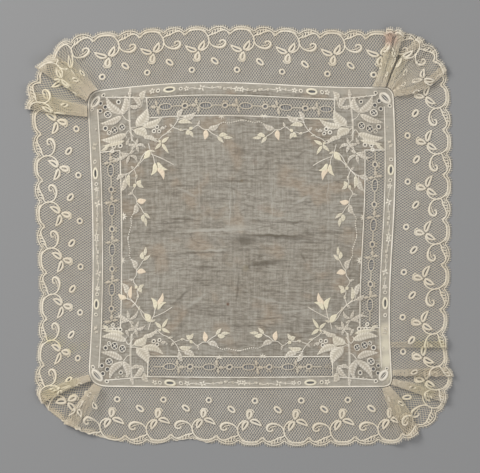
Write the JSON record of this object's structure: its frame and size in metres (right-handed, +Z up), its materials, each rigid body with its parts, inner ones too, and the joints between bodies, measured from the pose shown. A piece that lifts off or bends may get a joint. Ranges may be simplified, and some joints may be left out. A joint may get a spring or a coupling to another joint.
{
  "type": "lace handkerchief",
  "caption": "Square sheer handkerchief with white embroidered corners, net lace insertions and a scalloped lace edging pleated at the corners, lying flat",
  "frame": {"origin": "centre of the bounding box, on the surface that the handkerchief lies on", "axes": "+X to the right of the picture, +Y to its top, +Z up off the surface"},
  "size_m": [0.3042, 0.2997, 0.0072],
  "materials": {
    "lawn": "sheer plain weave, matte, a little creased",
    "insertion_lace": "cream cotton net lace, matte",
    "edging_lace": "cream cotton net lace, matte"
  },
  "bodies": {
    "root": {"lawn_panel": "lawn", "insertion_top": "insertion_lace", "insertion_right": "insertion_lace", "insertion_bottom": "insertion_lace", "insertion_left": "insertion_lace", "lace_edging": "edging_lace"}
  },
  "joints": []
}
